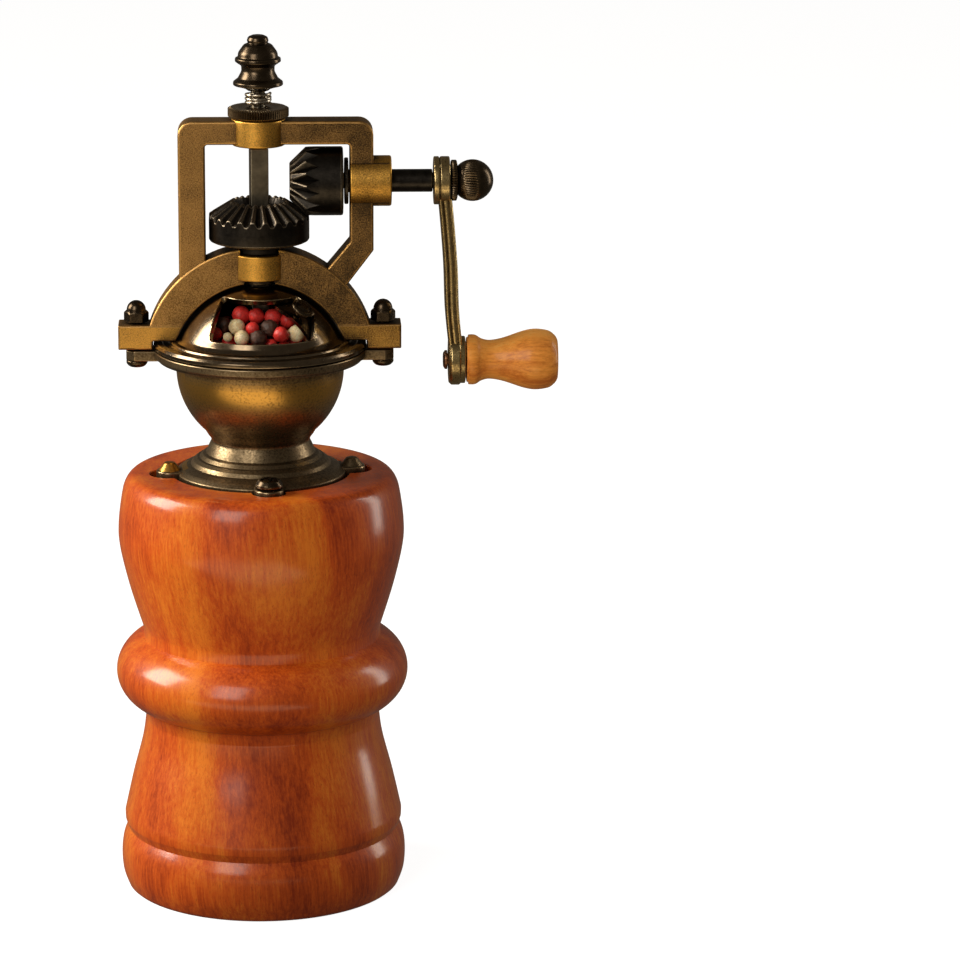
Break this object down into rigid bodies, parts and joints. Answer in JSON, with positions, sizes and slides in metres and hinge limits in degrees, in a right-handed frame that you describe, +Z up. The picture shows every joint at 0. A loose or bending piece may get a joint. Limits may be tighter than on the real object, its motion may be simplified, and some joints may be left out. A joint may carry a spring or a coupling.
{
  "type": "pepper mill",
  "caption": "Hand-crank pepper mill with a turned wooden body, a brass hopper under a bracket, a bevel gear drive, a sliding hopper door and a side crank.",
  "frame": {"origin": "on the surface that the mill stands on, under the middle of the whole box; the mill's own axis is 18.8 mm towards -X", "axes": "+Z up along the grinding spindle, +X along the crank shaft towards the handle, -Y to the front with the hopper window"},
  "size_m": [0.1116, 0.074, 0.2187],
  "materials": {
    "lacquered_wood": "glossy orange-red lacquer over turned hardwood",
    "handle_wood": "satin varnish over turned hardwood",
    "antique_brass": "antique brass casting with a dark patina",
    "polished_bronze": "polished dark bronze plating",
    "dark_bronze": "dark bronze plating, worn on the edges",
    "black_steel": "black oxide, satin",
    "spindle_steel": "drawn steel bar",
    "burr_steel": "bare cut steel"
  },
  "bodies": {
    "mill_body": {"wood_body": "lacquered_wood", "hopper_bowl": "antique_brass", "hopper_dome": "polished_bronze", "bracket": "antique_brass", "outer_burr": "burr_steel", "spindle_bush": "dark_bronze", "foot_bolt_left": "dark_bronze", "foot_bolt_right": "dark_bronze", "acorn_nut_left": "dark_bronze", "acorn_nut_right": "dark_bronze", "flange_screw_front": "dark_bronze", "flange_screw_back": "dark_bronze"},
    "door": {"hopper_door": "polished_bronze", "door_knob": "dark_bronze"},
    "gear": {"drive_gear": "black_steel"},
    "grinding_spindle": {"spindle": "spindle_steel", "inner_burr": "burr_steel", "finial_nut": "dark_bronze"},
    "adjuster": {"adjusting_nut": "dark_bronze", "adjusting_spring": "spindle_steel"},
    "crank": {"crank_shaft": "black_steel", "pinion": "black_steel", "thrust_washer": "black_steel", "crank_arm": "antique_brass", "crank_nut": "dark_bronze", "handle_rivet": "dark_bronze"},
    "handle": {"crank_handle": "handle_wood"}
  },
  "joints": [
    {"name": "crank_spin", "type": "hinge", "parent": "mill_body", "child": "crank", "pos_m": [0.0089, 0, 0.1821], "axis": [1, 0, 0], "continuous": true},
    {"name": "handle_spin", "type": "hinge", "parent": "crank", "child": "handle", "pos_m": [0.0412, 0, 0.1364], "axis": [1, 0, 0], "continuous": true},
    {"name": "gear_spin", "type": "hinge", "parent": "mill_body", "child": "gear", "pos_m": [-0.0188, 0, 0.165], "axis": [0, 0, 1], "continuous": true},
    {"name": "grind_adjust", "type": "hinge", "parent": "gear", "child": "adjuster", "pos_m": [-0.0188, 0, 0.1995], "axis": [0, 0, 1], "range_deg": [-180, 180]},
    {"name": "spindle_lift", "type": "slide", "parent": "gear", "child": "grinding_spindle", "axis": [0, 0, 1], "range_m": [-0.00035, 0.00035]},
    {"name": "door_turn", "type": "hinge", "parent": "mill_body", "child": "door", "pos_m": [-0.0188, 0, 0.15], "axis": [0, 0, 1], "range_deg": [-89, 0]}
  ],
  "couplings": [
    {"joint": "gear_spin", "follows": "crank_spin", "ratio": 0.66667},
    {"joint": "grind_adjust", "follows": "spindle_lift", "rad_per_m": 8976}
  ]
}
